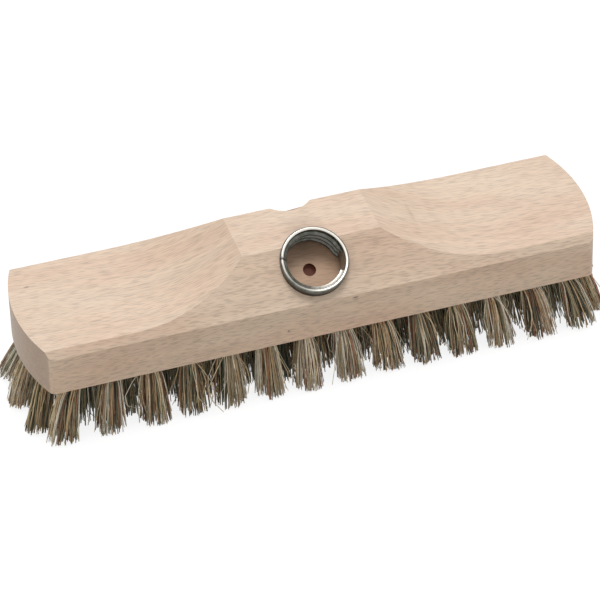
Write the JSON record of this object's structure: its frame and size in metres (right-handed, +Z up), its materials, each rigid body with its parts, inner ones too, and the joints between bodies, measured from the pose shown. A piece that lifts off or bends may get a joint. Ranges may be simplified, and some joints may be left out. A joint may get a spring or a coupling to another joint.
{
  "type": "scrub brush",
  "caption": "Wooden scrub brush head: a waisted beech block on rows of fibre tufts, with a threaded steel handle ring in its front slope and a plain handle bore in its back slope.",
  "frame": {"origin": "on the floor at the tips of the fibres, under the middle of the block", "axes": "+X along the block, +Y from the threaded ring towards the plain bore, +Z up"},
  "size_m": [0.2517, 0.0676, 0.064],
  "materials": {
    "beech": "matte",
    "zinc_plated_steel": "satin",
    "plant_fibre": "matte",
    "anchor_steel": "satin"
  },
  "bodies": {
    "root": {"brush_block": "beech", "threaded_ring": "zinc_plated_steel", "tuft_anchors": "anchor_steel", "front_row_tuft_1": "plant_fibre", "front_row_tuft_2": "plant_fibre", "front_row_tuft_3": "plant_fibre", "front_row_tuft_4": "plant_fibre", "front_row_tuft_5": "plant_fibre", "front_row_tuft_6": "plant_fibre", "front_row_tuft_7": "plant_fibre", "front_row_tuft_8": "plant_fibre", "front_row_tuft_9": "plant_fibre", "front_row_tuft_10": "plant_fibre", "front_row_tuft_11": "plant_fibre", "front_row_tuft_12": "plant_fibre", "front_row_tuft_13": "plant_fibre", "front_row_tuft_14": "plant_fibre", "second_row_tufts_1": "plant_fibre", "second_row_tufts_2": "plant_fibre", "second_row_tufts_3": "plant_fibre", "second_row_tufts_4": "plant_fibre", "second_row_tufts_5": "plant_fibre", "second_row_tufts_6": "plant_fibre", "second_row_tufts_7": "plant_fibre", "second_row_tufts_8": "plant_fibre", "middle_row_tufts_1": "plant_fibre", "middle_row_tufts_2": "plant_fibre", "middle_row_tufts_3": "plant_fibre", "middle_row_tufts_4": "plant_fibre", "middle_row_tufts_5": "plant_fibre", "middle_row_tufts_6": "plant_fibre", "middle_row_tufts_7": "plant_fibre", "middle_row_tufts_8": "plant_fibre", "fourth_row_tufts_1": "plant_fibre", "fourth_row_tufts_2": "plant_fibre", "fourth_row_tufts_3": "plant_fibre", "fourth_row_tufts_4": "plant_fibre", "fourth_row_tufts_5": "plant_fibre", "fourth_row_tufts_6": "plant_fibre", "fourth_row_tufts_7": "plant_fibre", "fourth_row_tufts_8": "plant_fibre", "back_row_tuft_1": "plant_fibre", "back_row_tuft_2": "plant_fibre", "back_row_tuft_3": "plant_fibre", "back_row_tuft_4": "plant_fibre", "back_row_tuft_5": "plant_fibre", "back_row_tuft_6": "plant_fibre", "back_row_tuft_7": "plant_fibre", "back_row_tuft_8": "plant_fibre", "back_row_tuft_9": "plant_fibre", "back_row_tuft_10": "plant_fibre", "back_row_tuft_11": "plant_fibre", "back_row_tuft_12": "plant_fibre", "back_row_tuft_13": "plant_fibre", "back_row_tuft_14": "plant_fibre"}
  },
  "joints": []
}
